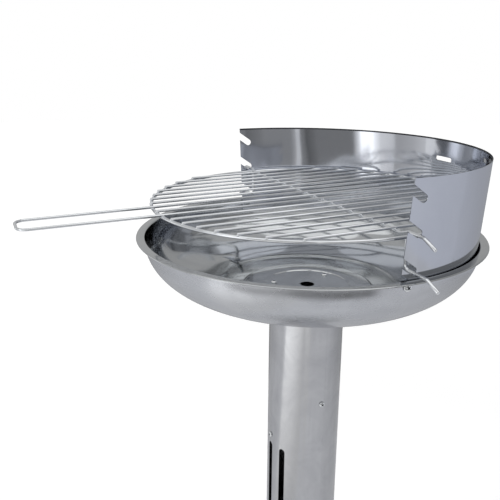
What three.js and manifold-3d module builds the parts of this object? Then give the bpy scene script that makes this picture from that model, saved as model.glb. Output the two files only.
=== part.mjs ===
// A round charcoal grill on a column: a floor plate, a rolled sheet column with air slots,
// a pressed fire bowl, a half-round wind shield with notched ends, and a round wire grid
// with a long handle that hangs by two wires in the notches.
// Millimetres, Z up, X to the right, the handle towards -Y.
// The origin is on the floor, under the middle of the column.

import * as THREE from 'three';
import { mergeVertices } from 'three/addons/utils/BufferGeometryUtils.js';
import Module from 'manifold-3d';

const wasm = await Module();
wasm.setup();

// Fits shared by the whole grill
const seatGap = 0.3;
const holeClearance = 0.3;
const cutOverrun = 4;

// Floor plate and the socket that the column stands over
const plateRadius = 180;
const plateThickness = 5;
const plateChamfer = 1.5;
const socketSheet = 2;
const socketHeight = 32;
const socketBoreRadius = 28;
const socketScrewCircle = 37;
const footScrewRise = 20;

// Column
const columnRadius = 50.4;
const columnSheet = 1.2;
const seamAngle = 7;
const seamLap = 17;
const seamJog = 6;
const seamScrewAngle = 0;
const seamScrewDrop = 154;
const frontAngle = -90;
const frontScrewDrop = 218;
const slotWidth = 9.4;
const slotLength = 170;
const slotDrop = 230;
const slotSpacing = 28;
const slotCount = 3;
const tabReach = 14;
const tabSpread = 26;

// Fire bowl
const rimHeight = 740;
const rimRadius = 225;
const flangeWidth = 8.7;
const flangeLip = 1.5;
const bowlSheet = 1.2;
const bowlDepth = 77.5;
const floorRadius = 121;
const plateauRadius = 84;
const plateauRise = 2.5;
const seatRadius = 56;
const seatStep = 1.5;
const draughtHoleRadius = 9.5;
const bowlScrewCircle = 45;
// The wall is a quarter ellipse where both shares are 1; a higher share draws its belly in.
const wallRunShare = 1.17;
const wallDropShare = 0.93;

// Wind shield
const shieldRise = 109;
const shieldDip = 18;
const shieldSheet = 1;
const shieldFootGap = 0.6;
const shieldFlare = 13;
const shieldRearFlare = 1;
const shieldFront = 7;
const notchWidth = 9.2;
const notchSlope = 35;
const notchDepth = 13.5;
const notchPitch = 37;
const notchDrop = 21.4;
const lowestNotchStep = 4;
const notchCount = 3;
const rearSlotLength = 33;
const rearSlotHeight = 6;
const rearSlotDrop = 27;
const shieldScrewDip = 7;
const shieldScrewAngles = [0, 90, 180];

// Grid
const wireRadius = 1.7;
const frameWireRadius = 2;
const ringInset = 12.3;
const edgeWireInset = 26.72;
const wireHalfCount = 8;
const wireOverhang = 1.5;
const handleReach = 363;
const handleBend = 12;
const gridNotch = 2;
const gridDroop = 0.8;
const earRun = 9.2;
const stayEarRun = 18;
const earBendRadius = 9;
const earLength = 21;
const earDroop = 23;
const crossbarRiseRun = 13;
const stayBend = 7;

// Fasteners
const boltShank = 2.5;
const boltHead = 4.75;
const boltHeadHeight = 3;
const boltNut = 4.6;
const boltNutHeight = 3.5;
const smallBoltShank = 2;
const smallBoltHead = 4;
const smallBoltHeadHeight = 2.6;
const smallBoltNut = 3.9;
const smallBoltNutHeight = 3;
const recessWidth = 1;
const recessSpanShare = 0.62;
const recessDepthShare = 0.55;
const domeSpanShare = 0.92;
const shankTail = 2;

// How finely round things are cut
const ringSides = 48;
const roundSides = 10;
const wallSteps = 8;
const shieldSteps = 44;
const lapSteps = 3;
const tabSteps = 4;
const slotEndSteps = 6;
const domeSteps = 2;
const wireSides = 8;
const bendStep = 18;
const mergeWithin = 1e-4;

// Levels that follow from the sizes above
const columnFoot = plateThickness + seatGap;
const seatUnder = rimHeight - bowlDepth + plateauRise - seatStep;
const columnTop = seatUnder - seatGap;
const columnBore = columnRadius - columnSheet;
const socketRadius = columnBore - seatGap;
const flangeInner = rimRadius - flangeWidth;
const bowlWallTop = rimHeight - bowlSheet;
const shieldTop = rimHeight + shieldRise;
const shieldFoot = rimHeight - shieldDip;
const notchEndY = notchDepth - shieldFront;
const ringRadius = flangeInner - ringInset;
const wirePitch = (ringRadius - edgeWireInset) / wireHalfCount;
const fullTurn = 360;
const third = fullTurn / 3;
const bowlScrewAngles = [0, third, third * 2];
const footAngles = bowlScrewAngles.map((angle) => angle + third / 2);
const bolt = {
  shank: boltShank,
  head: boltHead,
  headHeight: boltHeadHeight,
  nut: boltNut,
  nutHeight: boltNutHeight,
};
const smallBolt = {
  shank: smallBoltShank,
  head: smallBoltHead,
  headHeight: smallBoltHeadHeight,
  nut: smallBoltNut,
  nutHeight: smallBoltNutHeight,
};

const radians = THREE.MathUtils.degToRad;

const steel = new THREE.MeshStandardMaterial({ color: 0xb4b7bb, roughness: 0.32, metalness: 1 });
const bowlSteel = new THREE.MeshStandardMaterial({ color: 0xaeb0b3, roughness: 0.22, metalness: 1 });
const shieldSteel = new THREE.MeshStandardMaterial({ color: 0xb9bfca, roughness: 0.28, metalness: 1 });
const chrome = new THREE.MeshStandardMaterial({ color: 0xd8dade, roughness: 0.12, metalness: 1 });
const plated = new THREE.MeshStandardMaterial({ color: 0xc6c8cb, roughness: 0.25, metalness: 1 });

const grill = new THREE.Group();
const standing = new THREE.Group();
const lifting = new THREE.Group();
grill.add(standing, lifting);

function place(group, name, geometry, material) {
  const mesh = new THREE.Mesh(geometry, material);
  mesh.name = name;
  group.add(mesh);
  return mesh;
}

// Gives a closed geometry merged corners and faces that point out.
function outward(geometry) {
  geometry.deleteAttribute('normal');
  geometry.deleteAttribute('uv');
  const merged = mergeVertices(geometry, mergeWithin);
  const spots = merged.getAttribute('position');
  const corners = Array.from(merged.index.array);
  const faces = [];
  for (let i = 0; i < corners.length; i += 3) {
    const [a, b, c] = corners.slice(i, i + 3);
    if (a !== b && b !== c && a !== c) faces.push([a, b, c]);
  }
  const at = (i) => new THREE.Vector3().fromBufferAttribute(spots, i);
  const volume = faces.reduce((sum, [a, b, c]) => sum + at(a).dot(at(b).cross(at(c))), 0);
  const turned = volume < 0 ? faces.map(([a, b, c]) => [a, c, b]) : faces;
  merged.setIndex(turned.flat());
  return merged;
}

function toSolid(geometry) {
  const closed = outward(geometry);
  return new wasm.Manifold(new wasm.Mesh({
    numProp: 3,
    vertProperties: new Float32Array(closed.getAttribute('position').array),
    triVerts: new Uint32Array(closed.index.array),
  }));
}

function toGeometry(solid) {
  const mesh = solid.getMesh();
  const geometry = new THREE.BufferGeometry();
  geometry.setAttribute('position', new THREE.BufferAttribute(mesh.vertProperties, 3));
  geometry.setIndex(new THREE.BufferAttribute(mesh.triVerts, 1));
  geometry.computeVertexNormals();
  return geometry;
}

function cut(geometry, tools) {
  let solid = toSolid(geometry);
  for (const tool of tools) solid = solid.subtract(toSolid(tool));
  return toGeometry(solid);
}

function join(geometry, others) {
  let solid = toSolid(geometry);
  for (const other of others) solid = solid.add(toSolid(other));
  return toGeometry(solid);
}

// A ring-shaped body: the closed outline holds radius and height pairs.
function turned(outline, sides = ringSides) {
  const points = outline.map(([radius, height]) => new THREE.Vector2(radius, height));
  if (points[0].x > 0 || points[points.length - 1].x > 0) points.push(points[0].clone());
  return outward(new THREE.LatheGeometry(points, sides).rotateX(Math.PI / 2));
}

// An upright rod between two heights, with a flat rather than a corner towards X.
function rod(radius, low, high, sides = roundSides) {
  const length = high - low;
  return new THREE.CylinderGeometry(radius, radius, length, sides)
    .rotateX(Math.PI / 2)
    .rotateZ(Math.PI / sides / 2)
    .translate(0, 0, low + length / 2);
}

// Lays a shape that stands along Z down so that Z points away from the column at an angle.
function pointOut(geometry, angle, height) {
  return geometry.rotateY(Math.PI / 2).rotateZ(radians(angle)).translate(0, 0, height);
}

// An upright hole through everything between two heights, at a place around the column.
function holeAt(radius, angle, distance, low, high) {
  const x = distance * Math.cos(radians(angle));
  const y = distance * Math.sin(radians(angle));
  return rod(radius, low, high).translate(x, y, 0);
}

// A slot with round ends, drawn around its middle and pushed along Z.
function slotCutter(length, width, depth) {
  const half = (length - width) / 2;
  const shape = new THREE.Shape();
  shape.moveTo(-half, -width / 2);
  shape.lineTo(half, -width / 2);
  shape.absarc(half, 0, width / 2, -Math.PI / 2, Math.PI / 2, false);
  shape.lineTo(-half, width / 2);
  shape.absarc(-half, 0, width / 2, Math.PI / 2, Math.PI * 3 / 2, false);
  return new THREE.ExtrudeGeometry(shape, { depth, bevelEnabled: false, curveSegments: slotEndSteps });
}

// Wire work. A run passes exactly through its points, one ring of the wire at each.
class WireRun extends THREE.Curve {
  constructor(points) {
    super();
    this.points = points;
  }

  getPoint(t, target = new THREE.Vector3()) {
    const place = t * (this.points.length - 1);
    const first = Math.min(Math.floor(place), this.points.length - 2);
    return target.lerpVectors(this.points[first], this.points[first + 1], place - first);
  }

  getPointAt(u, target) {
    return this.getPoint(u, target);
  }

  getTangentAt(u, target = new THREE.Vector3()) {
    const last = this.points.length - 1;
    const at = Math.round(u * last);
    const before = this.points[Math.max(at - 1, 0)];
    const here = this.points[at];
    const after = this.points[Math.min(at + 1, last)];
    const away = after.clone().sub(here).normalize();
    return target.copy(here).sub(before).normalize().add(away).normalize();
  }
}

// Rounds each inner corner of a run of straight stretches with an arc.
function rounded(corners, radius) {
  const points = [corners[0]];
  for (let i = 1; i < corners.length - 1; i += 1) {
    const back = corners[i - 1].clone().sub(corners[i]).normalize();
    const ahead = corners[i + 1].clone().sub(corners[i]).normalize();
    const turn = Math.PI - back.angleTo(ahead);
    const reach = radius * Math.tan(turn / 2);
    const inward = back.clone().add(ahead).normalize();
    const middle = inward.multiplyScalar(radius / Math.cos(turn / 2)).add(corners[i]);
    const start = back.clone().multiplyScalar(reach).add(corners[i]).sub(middle);
    const axis = back.clone().cross(start).normalize();
    const steps = Math.max(2, Math.round(turn / radians(bendStep)));
    for (let k = 0; k <= steps; k += 1) {
      points.push(start.clone().applyAxisAngle(axis, turn * k / steps).add(middle));
    }
  }
  points.push(corners[corners.length - 1]);
  return points;
}

function wire(points, radius) {
  const section = new THREE.Shape();
  for (let i = 0; i < wireSides; i += 1) {
    const angle = 2 * Math.PI * (i + 1 / 2) / wireSides;
    const spot = [radius * Math.cos(angle), radius * Math.sin(angle)];
    if (i === 0) section.moveTo(...spot);
    else section.lineTo(...spot);
  }
  const options = { steps: points.length - 1, extrudePath: new WireRun(points), bevelEnabled: false };
  return outward(new THREE.ExtrudeGeometry(section, options));
}

// Fasteners. Each stands along Z with the underside of its head at zero.
function screwBody(size, length) {
  const dome = [];
  for (let k = 0; k < domeSteps; k += 1) {
    const angle = Math.PI / 2 * k / domeSteps;
    const radius = size.head * (domeSpanShare * Math.cos(angle) + 1 - domeSpanShare);
    dome.push([radius, size.headHeight * Math.sin(angle)]);
  }
  dome.push([0, size.headHeight]);
  const body = turned([[0, -length], [size.shank, -length], [size.shank, 0], ...dome], roundSides);
  const depth = size.headHeight * recessDepthShare;
  const span = size.head * 2 * recessSpanShare;
  const blade = [span, recessWidth, depth + cutOverrun];
  const lift = size.headHeight + cutOverrun - blade[2] / 2;
  return cut(body, [
    new THREE.BoxGeometry(...blade).translate(0, 0, lift),
    new THREE.BoxGeometry(blade[1], blade[0], blade[2]).translate(0, 0, lift),
  ]);
}

function nutBody(size) {
  const body = rod(size.nut, -size.nutHeight, 0, 6);
  return cut(body, [rod(size.shank + holeClearance, -size.nutHeight - cutOverrun, cutOverrun)]);
}

// A screw from outside and its nut from inside, on a line that points away from the column.
// The head is seated at one distance from the axis and the nut at another.
function sideFastener(name, size, angle, height, headSeat, nutSeat) {
  const length = headSeat - nutSeat + size.nutHeight + shankTail;
  const screw = screwBody(size, length).translate(0, 0, headSeat);
  place(standing, `${name}_screw`, pointOut(screw, angle, height), plated);
  const nut = nutBody(size).translate(0, 0, nutSeat);
  place(standing, `${name}_nut`, pointOut(nut, angle, height), plated);
}

function sideHole(size, angle, height, from, to) {
  return pointOut(rod(size.shank + holeClearance, from, to), angle, height);
}

// Floor plate: a flat round plate with its edges broken, tapped for the socket's screws
const plateBody = turned([
  [0, 0],
  [plateRadius - plateChamfer, 0],
  [plateRadius, plateChamfer],
  [plateRadius, plateThickness - plateChamfer],
  [plateRadius - plateChamfer, plateThickness],
  [0, plateThickness],
]);
const socketScrewHole = bolt.shank + holeClearance;
place(standing, 'base_plate', cut(plateBody, footAngles.map((angle) => holeAt(
  socketScrewHole, angle, socketScrewCircle, -cutOverrun, plateThickness + cutOverrun,
))), steel);

// Socket: a pressed cup without a floor that is screwed to the plate, inside the column
const socketFoot = plateThickness + seatGap;
const socketFloor = socketFoot + socketSheet;
const footScrewHeight = plateThickness + footScrewRise;
const socketBody = turned([
  [socketBoreRadius, socketFoot],
  [socketRadius, socketFoot],
  [socketRadius, socketFoot + socketHeight],
  [socketRadius - socketSheet, socketFoot + socketHeight],
  [socketRadius - socketSheet, socketFloor],
  [socketBoreRadius, socketFloor],
]);
place(standing, 'base_socket', cut(socketBody, [
  ...footAngles.map((angle) => holeAt(
    socketScrewHole, angle, socketScrewCircle, socketFoot - cutOverrun, socketFloor + cutOverrun,
  )),
  ...footAngles.map((angle) => sideHole(
    bolt, angle, footScrewHeight, socketRadius - socketSheet - cutOverrun, socketRadius + cutOverrun,
  )),
]), steel);

footAngles.forEach((angle, i) => {
  const length = socketSheet + seatGap * 2 + plateThickness - plateChamfer;
  const screw = screwBody(bolt, length).translate(socketScrewCircle, 0, socketFloor + seatGap);
  place(standing, `socket_screw_${i + 1}`, screw.rotateZ(radians(angle)), plated);
});

// Column: sheet rolled into a tube, with one edge jogged out and lapped over the other.
// Each step of the roll is an angle and how far the sheet is lifted off the plain circle.
function columnRoll() {
  const lapLift = columnSheet + seatGap;
  const innerEdge = seamAngle - seamLap;
  const lapStart = innerEdge + fullTurn;
  const roll = [];
  for (let angle = innerEdge; angle < lapStart - seamJog; angle += fullTurn / ringSides) {
    roll.push([angle, 0]);
  }
  roll.push([lapStart - seamJog, 0]);
  for (let k = 0; k <= lapSteps; k += 1) {
    roll.push([lapStart + seamLap * k / lapSteps, lapLift]);
  }
  return roll;
}

const lapOuter = columnRadius + columnSheet + seatGap;
const columnShape = new THREE.Shape();
function ringSpot(radius, angle) {
  return [radius * Math.cos(radians(angle)), radius * Math.sin(radians(angle))];
}
columnRoll().forEach(([angle, lift], i) => {
  const spot = ringSpot(columnRadius + lift, angle);
  if (i === 0) columnShape.moveTo(...spot);
  else columnShape.lineTo(...spot);
});
columnRoll().reverse().forEach(([angle, lift]) => {
  columnShape.lineTo(...ringSpot(columnBore + lift, angle));
});
columnShape.closePath();
const columnLength = columnTop - columnFoot;
const columnWall = new THREE.ExtrudeGeometry(columnShape, { depth: columnLength, bevelEnabled: false })
  .translate(0, 0, columnFoot);

// Three tabs at the top are folded in under the bowl.
function columnTab(angle) {
  const shape = new THREE.Shape();
  const inner = columnBore - tabReach;
  const outer = columnBore + columnSheet / 2;
  const spread = radians(tabSpread / 2);
  shape.absarc(0, 0, outer, -spread, spread, false);
  shape.absarc(0, 0, inner, spread, -spread, true);
  const options = { depth: columnSheet, bevelEnabled: false, curveSegments: tabSteps };
  return new THREE.ExtrudeGeometry(shape, options)
    .rotateZ(radians(angle))
    .translate(0, 0, columnTop - columnSheet);
}

const seamScrewHeights = [columnTop - seamScrewDrop, columnFoot + seamScrewDrop];
const frontScrewHeight = columnTop - frontScrewDrop;
const slotMiddle = columnTop - slotDrop - slotLength / 2;
const slotAngles = [];
for (let i = 0; i < slotCount; i += 1) {
  slotAngles.push(frontAngle + slotSpacing * (i - (slotCount - 1) / 2));
}
const smallHole = smallBolt.shank + holeClearance;
const wallCut = { from: columnBore - cutOverrun, to: lapOuter + cutOverrun };
const wallHole = (size, angle, height) => sideHole(size, angle, height, wallCut.from, wallCut.to);
// A slot cutter lies flat with its length along X; it is stood up along Z, then turned to its angle.
const slotTools = slotAngles.map((angle) => pointOut(
  slotCutter(slotLength, slotWidth, wallCut.to - wallCut.from).translate(0, 0, wallCut.from),
  angle,
  slotMiddle,
));
place(standing, 'column_tube', cut(join(columnWall, bowlScrewAngles.map(columnTab)), [
  ...slotTools,
  ...seamScrewHeights.map((height) => wallHole(smallBolt, seamScrewAngle, height)),
  wallHole(smallBolt, frontAngle, frontScrewHeight),
  ...footAngles.map((angle) => wallHole(bolt, angle, footScrewHeight)),
  ...bowlScrewAngles.map((angle) => holeAt(
    smallHole, angle, bowlScrewCircle, columnTop - columnSheet - cutOverrun, columnTop + cutOverrun,
  )),
]), steel);

const columnHeadSeat = columnRadius + seatGap;
const columnNutSeat = columnBore - seatGap;
seamScrewHeights.forEach((height, i) => {
  const name = ['seam_upper', 'seam_lower'][i];
  sideFastener(name, smallBolt, seamScrewAngle, height, lapOuter + seatGap, columnNutSeat);
});
sideFastener('column_front', smallBolt, frontAngle, frontScrewHeight, columnHeadSeat, columnNutSeat);
footAngles.forEach((angle, i) => {
  const nutSeat = socketRadius - socketSheet - seatGap;
  sideFastener(`foot_${i + 1}`, bolt, angle, footScrewHeight, columnHeadSeat, nutSeat);
});

// Fire bowl: a flat rim with a small lip, a curved wall, and a raised middle with a sunk seat
function bowlWallSpot(turn) {
  const reach = flangeInner - bowlSheet - floorRadius;
  const radius = floorRadius + reach * Math.cos(turn) ** wallRunShare;
  const drop = (bowlDepth - bowlSheet) * Math.sin(turn) ** wallDropShare;
  return [radius, bowlWallTop - drop];
}

function bowlWallTurnAt(height) {
  return Math.asin(((bowlWallTop - height) / (bowlDepth - bowlSheet)) ** (1 / wallDropShare));
}

const bowlFloor = rimHeight - bowlDepth;
const wallLine = [];
for (let k = 0; k <= wallSteps; k += 1) {
  wallLine.push(bowlWallSpot(Math.PI / 2 * k / wallSteps));
}
// The same line one sheet thickness further in
const wallLining = wallLine.map(([radius, height], k) => {
  const [nextRadius, nextHeight] = wallLine[Math.min(k + 1, wallSteps)];
  const [lastRadius, lastHeight] = wallLine[Math.max(k - 1, 0)];
  const run = new THREE.Vector2(nextRadius - lastRadius, nextHeight - lastHeight).normalize();
  return [radius + run.y * bowlSheet, height - run.x * bowlSheet];
});
const plateauTop = bowlFloor + plateauRise;
const underside = [
  [flangeInner - bowlSheet, bowlWallTop],
  ...wallLine.slice(1),
  [plateauRadius, plateauTop],
  [seatRadius + seatStep, plateauTop],
  [seatRadius, seatUnder],
  [draughtHoleRadius, seatUnder],
];
const topside = [
  [draughtHoleRadius, seatUnder + bowlSheet],
  [seatRadius, seatUnder + bowlSheet],
  [seatRadius + seatStep, plateauTop + bowlSheet],
  [plateauRadius, plateauTop + bowlSheet],
  ...wallLining.slice(1).reverse(),
  [flangeInner - bowlSheet * 2, bowlWallTop],
  [flangeInner - bowlSheet, rimHeight],
  [rimRadius, rimHeight],
  [rimRadius, rimHeight - flangeLip],
  [rimRadius - bowlSheet, rimHeight - flangeLip],
  [rimRadius - bowlSheet, bowlWallTop],
];
const bowlBody = turned([...underside, ...topside]);

const shieldScrewHeight = rimHeight - shieldScrewDip;
const shieldScrewWall = bowlWallSpot(bowlWallTurnAt(shieldScrewHeight))[0];
const shieldHeadSeat = bowlWallSpot(bowlWallTurnAt(shieldScrewHeight + bolt.head))[0] + seatGap;
place(standing, 'fire_bowl', cut(bowlBody, [
  ...bowlScrewAngles.map((angle) => holeAt(
    smallHole, angle, bowlScrewCircle, seatUnder - cutOverrun, seatUnder + bowlSheet + cutOverrun,
  )),
  ...shieldScrewAngles.map((angle) => sideHole(
    bolt, angle, shieldScrewHeight, shieldScrewWall - cutOverrun * 2, shieldScrewWall + cutOverrun,
  )),
]), bowlSteel);

bowlScrewAngles.forEach((angle, i) => {
  const head = seatUnder + bowlSheet + seatGap;
  const nutSeat = columnTop - columnSheet - seatGap;
  const length = head - nutSeat + smallBolt.nutHeight + shankTail;
  const screw = screwBody(smallBolt, length).translate(bowlScrewCircle, 0, head);
  place(standing, `bowl_screw_${i + 1}`, screw.rotateZ(radians(angle)), plated);
  const nut = nutBody(smallBolt).translate(bowlScrewCircle, 0, nutSeat);
  place(standing, `bowl_nut_${i + 1}`, nut.rotateZ(radians(angle)), plated);
});

// Wind shield: a strip bent into a half round that springs wider at its ends than at its back
const shieldFootTurn = bowlWallTurnAt(shieldFoot);
const shieldFootRadius = bowlWallSpot(shieldFootTurn)[0] - bowlSheet - shieldFootGap;
const shieldHeight = shieldTop - shieldFoot;
const shieldDipAngle = Math.asin(shieldFront / shieldFootRadius);

function shieldPlan() {
  const shape = new THREE.Shape();
  const sweep = Math.PI + shieldDipAngle * 2;
  const turnAt = (k) => -shieldDipAngle + sweep * k / shieldSteps;
  const inner = shieldFootRadius - shieldSheet;
  for (let k = 0; k <= shieldSteps; k += 1) {
    const spot = [shieldFootRadius * Math.cos(turnAt(k)), shieldFootRadius * Math.sin(turnAt(k))];
    if (k === 0) shape.moveTo(...spot);
    else shape.lineTo(...spot);
  }
  for (let k = shieldSteps; k >= 0; k -= 1) {
    shape.lineTo(inner * Math.cos(turnAt(k)), inner * Math.sin(turnAt(k)));
  }
  shape.closePath();
  return shape;
}

// How much wider the shield is at a height than at its foot, sideways and to the rear
const flareAt = (height, flare) => 1 + flare * (height - shieldFoot) / shieldHeight / shieldFootRadius;
const shieldBody = new THREE.ExtrudeGeometry(shieldPlan(), { depth: shieldHeight, bevelEnabled: false })
  .translate(0, 0, shieldFoot);
const shieldSpots = shieldBody.getAttribute('position');
for (let i = 0; i < shieldSpots.count; i += 1) {
  const height = shieldSpots.getZ(i);
  shieldSpots.setX(i, shieldSpots.getX(i) * flareAt(height, shieldFlare));
  shieldSpots.setY(i, shieldSpots.getY(i) * flareAt(height, shieldRearFlare));
}

// Each notch runs in from the free end and down, and ends in a half round.
const notchRun = notchDepth / Math.cos(radians(notchSlope)) + notchWidth;
function notchHeight(index) {
  const lowestStep = index === notchCount ? lowestNotchStep : 0;
  return shieldTop - notchDrop - notchPitch * (index - 1) - lowestStep;
}

function notchCutter(side, index) {
  const depth = shieldFlare + cutOverrun * 2;
  return slotCutter(notchRun + notchWidth, notchWidth, depth)
    .translate(-notchRun / 2, 0, -depth / 2)
    .rotateZ(radians(-notchSlope))
    .rotateX(Math.PI / 2)
    .rotateZ(Math.PI / 2)
    .translate(side * (shieldFootRadius + shieldFlare / 2), notchEndY, notchHeight(index));
}

const notchTools = [];
for (let index = 1; index <= notchCount; index += 1) {
  notchTools.push(notchCutter(-1, index), notchCutter(1, index));
}
const rearSlot = slotCutter(rearSlotLength, rearSlotHeight, cutOverrun * 4)
  .rotateX(Math.PI / 2)
  .translate(0, shieldFootRadius + shieldRearFlare + cutOverrun * 2, shieldTop - rearSlotDrop);
// The shield leans out, so a flat nut meets it first at the nut's lower edge.
function shieldNutFace(angle) {
  const sideways = Math.abs(Math.cos(radians(angle))) * shieldFlare;
  const rearward = Math.sin(radians(angle)) * shieldRearFlare;
  const widening = flareAt(shieldScrewHeight - bolt.nut, sideways + rearward);
  return shieldFootRadius * widening - shieldSheet;
}
place(standing, 'wind_shield', cut(shieldBody, [
  ...notchTools,
  rearSlot,
  ...shieldScrewAngles.map((angle) => sideHole(
    bolt, angle, shieldScrewHeight, shieldFootRadius - cutOverrun, shieldScrewWall + cutOverrun,
  )),
]), shieldSteel);

shieldScrewAngles.forEach((angle, i) => {
  const name = ['shield_right', 'shield_rear', 'shield_left'][i];
  const nutSeat = shieldNutFace(angle) - seatGap;
  sideFastener(name, bolt, angle, shieldScrewHeight, shieldHeadSeat, nutSeat);
});

// Grid: a round wire frame with straight wires laid across it
const notchFloor = notchHeight(gridNotch) - notchWidth / 2;
const earHeight = notchFloor + frameWireRadius + seatGap;
const ringHeight = earHeight - frameWireRadius * 2 - seatGap;
const wireHeight = ringHeight + frameWireRadius + seatGap + wireRadius;
const crossbarY = notchEndY;

// The handle's weight tips the whole grid a little about its ears
const pivot = new THREE.Vector3(0, crossbarY, earHeight);
lifting.rotation.x = radians(gridDroop);
lifting.position.copy(pivot).sub(pivot.clone().applyEuler(lifting.rotation));

const ringBody = new THREE.TorusGeometry(ringRadius, frameWireRadius, wireSides, ringSides);
place(lifting, 'grid_ring', outward(ringBody.translate(0, 0, ringHeight)), chrome);

const wireEnd = (x) => Math.sqrt(ringRadius ** 2 - x ** 2) + wireOverhang;
for (let index = -wireHalfCount; index <= wireHalfCount; index += 1) {
  const x = index * wirePitch;
  const isHandleLeg = Math.abs(index) === 1;
  if (!isHandleLeg) {
    const ends = [-1, 1].map((side) => new THREE.Vector3(x, side * wireEnd(x), wireHeight));
    const number = String(index + wireHalfCount + 1).padStart(2, '0');
    place(lifting, `grid_wire_${number}`, wire(ends, wireRadius), chrome);
  }
}

// Handle: one wire bent to a U, whose legs run on across the ring as two of its wires
const legEnd = wireEnd(wirePitch);
const handleCorners = [
  new THREE.Vector3(-wirePitch, legEnd, wireHeight),
  new THREE.Vector3(-wirePitch, -handleReach, wireHeight),
  new THREE.Vector3(wirePitch, -handleReach, wireHeight),
  new THREE.Vector3(wirePitch, legEnd, wireHeight),
];
place(lifting, 'grid_handle', wire(rounded(handleCorners, handleBend), wireRadius), chrome);

// Ears: past the shield, a wire runs straight out and then droops
const shieldSideAt = (height) => shieldFootRadius * flareAt(height, shieldFlare);
const droopRun = earLength * Math.cos(radians(earDroop));
const droopDrop = earLength * Math.sin(radians(earDroop));
function earCorners(side, height, run) {
  const bend = shieldSideAt(earHeight) + run;
  return [
    new THREE.Vector3(side * bend, crossbarY, height),
    new THREE.Vector3(side * (bend + droopRun), crossbarY, height - droopDrop),
  ];
}

// Crossbar: under the wires, up over the ring at each end and out through the notches
const riseTop = ringRadius - frameWireRadius;
const riseFoot = riseTop - crossbarRiseRun;
function crossbarHalf(side) {
  return [
    new THREE.Vector3(side * riseFoot, crossbarY, ringHeight),
    new THREE.Vector3(side * riseTop, crossbarY, earHeight),
    ...earCorners(side, earHeight, earRun),
  ];
}
const crossbarCorners = [...crossbarHalf(-1).reverse(), ...crossbarHalf(1)];
place(lifting, 'grid_crossbar', wire(rounded(crossbarCorners, earBendRadius), frameWireRadius), chrome);

// Stays: a short wire at each side, from the ring's inner side down to the next notch and out
const stayX = ringRadius - frameWireRadius * 2 - seatGap;
const stayHeight = earHeight - notchHeight(gridNotch) + notchHeight(gridNotch + 1);
const stayTop = ringHeight;
[['right', 1], ['left', -1]].forEach(([word, side]) => {
  const corners = [
    new THREE.Vector3(side * stayX, crossbarY, stayTop),
    new THREE.Vector3(side * stayX, crossbarY, stayHeight),
    ...earCorners(side, stayHeight, stayEarRun),
  ];
  place(lifting, `grid_stay_${word}`, wire(rounded(corners, stayBend), frameWireRadius), chrome);
});

export default grill;
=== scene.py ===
# %% [markdown]
# A charcoal grill of bright sheet steel
#
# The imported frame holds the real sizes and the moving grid. This scene gives each of its solids
# a fine surface: pressed and rolled sheet, plated wire, screws, and the finishes that they have.
# All lengths are metres, and a length that is known in millimetres is written as a number of mm.

# %% Load the frame
import math

import bmesh
import bpy
from mathutils import Matrix, Vector


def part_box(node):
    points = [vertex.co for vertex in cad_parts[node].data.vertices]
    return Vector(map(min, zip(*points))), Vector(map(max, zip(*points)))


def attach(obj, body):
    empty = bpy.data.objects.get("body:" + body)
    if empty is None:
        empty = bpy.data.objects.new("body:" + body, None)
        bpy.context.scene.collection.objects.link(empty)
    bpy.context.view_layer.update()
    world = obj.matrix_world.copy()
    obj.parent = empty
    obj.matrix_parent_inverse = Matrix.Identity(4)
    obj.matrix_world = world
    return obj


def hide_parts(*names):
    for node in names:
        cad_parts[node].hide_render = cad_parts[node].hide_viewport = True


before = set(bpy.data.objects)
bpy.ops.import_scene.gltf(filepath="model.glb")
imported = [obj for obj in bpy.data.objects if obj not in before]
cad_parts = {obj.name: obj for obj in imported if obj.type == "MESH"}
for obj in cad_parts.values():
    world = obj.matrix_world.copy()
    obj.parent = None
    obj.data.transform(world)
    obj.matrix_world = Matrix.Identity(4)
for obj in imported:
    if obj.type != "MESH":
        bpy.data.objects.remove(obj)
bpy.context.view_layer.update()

mm = 0.001
scene = bpy.context.scene

# %% [markdown]
# The camera stands where the photographer stood. Its place was found by fitting a pinhole camera
# to the round rim, the round grid and the column, so it is given from the middle of the rim.
# Azimuth 0 looks along +Y; the camera looks down a little and is rolled by a third of a degree.

# %% Camera
IMAGE_PIXELS = 500
FOCAL_PIXELS = 651.9
SENSOR_WIDTH = 36
RIM_TO_CAMERA = Vector((731.6, -398.8, 225.4)) * mm
AZIMUTH = math.radians(66.74)
LOOKING_DOWN = math.radians(16.97)
ROLL = math.radians(0.31)

rim_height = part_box("fire_bowl")[1].z
ahead = Vector((-math.sin(AZIMUTH) * math.cos(LOOKING_DOWN),
                math.cos(AZIMUTH) * math.cos(LOOKING_DOWN),
                -math.sin(LOOKING_DOWN)))
level_right = ahead.cross(Vector((0, 0, 1))).normalized()
level_up = level_right.cross(ahead)
right = level_right * math.cos(ROLL) + level_up * math.sin(ROLL)
up = level_up * math.cos(ROLL) - level_right * math.sin(ROLL)

camera = bpy.data.objects.new("camera", bpy.data.cameras.new("camera"))
scene.collection.objects.link(camera)
camera.data.sensor_width = SENSOR_WIDTH
camera.data.lens = FOCAL_PIXELS * SENSOR_WIDTH / IMAGE_PIXELS
spot = RIM_TO_CAMERA + Vector((0, 0, rim_height))
camera.matrix_world = Matrix.Translation(spot) @ Matrix((right, up, -ahead)).transposed().to_4x4()
scene.camera = camera
print("camera at", [round(x, 3) for x in spot], "lens", round(camera.data.lens, 2))

# %% [markdown]
# A material is a tree of nodes. One small function adds a node with its settings and its inputs,
# where an input is either a value or another node's output. Colours are written as the sRGB hex
# values that a picture shows, and one function turns them into the linear values of the shader.

# %% Helpers for materials
def linear(hex_colour):
    """Turns "#rrggbb" into a linear colour with full alpha."""
    parts = [int(hex_colour[i:i + 2], 16) / 255 for i in (1, 3, 5)]
    return [p / 12.92 if p <= 0.04045 else ((p + 0.055) / 1.055) ** 2.4 for p in parts] + [1]


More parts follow.
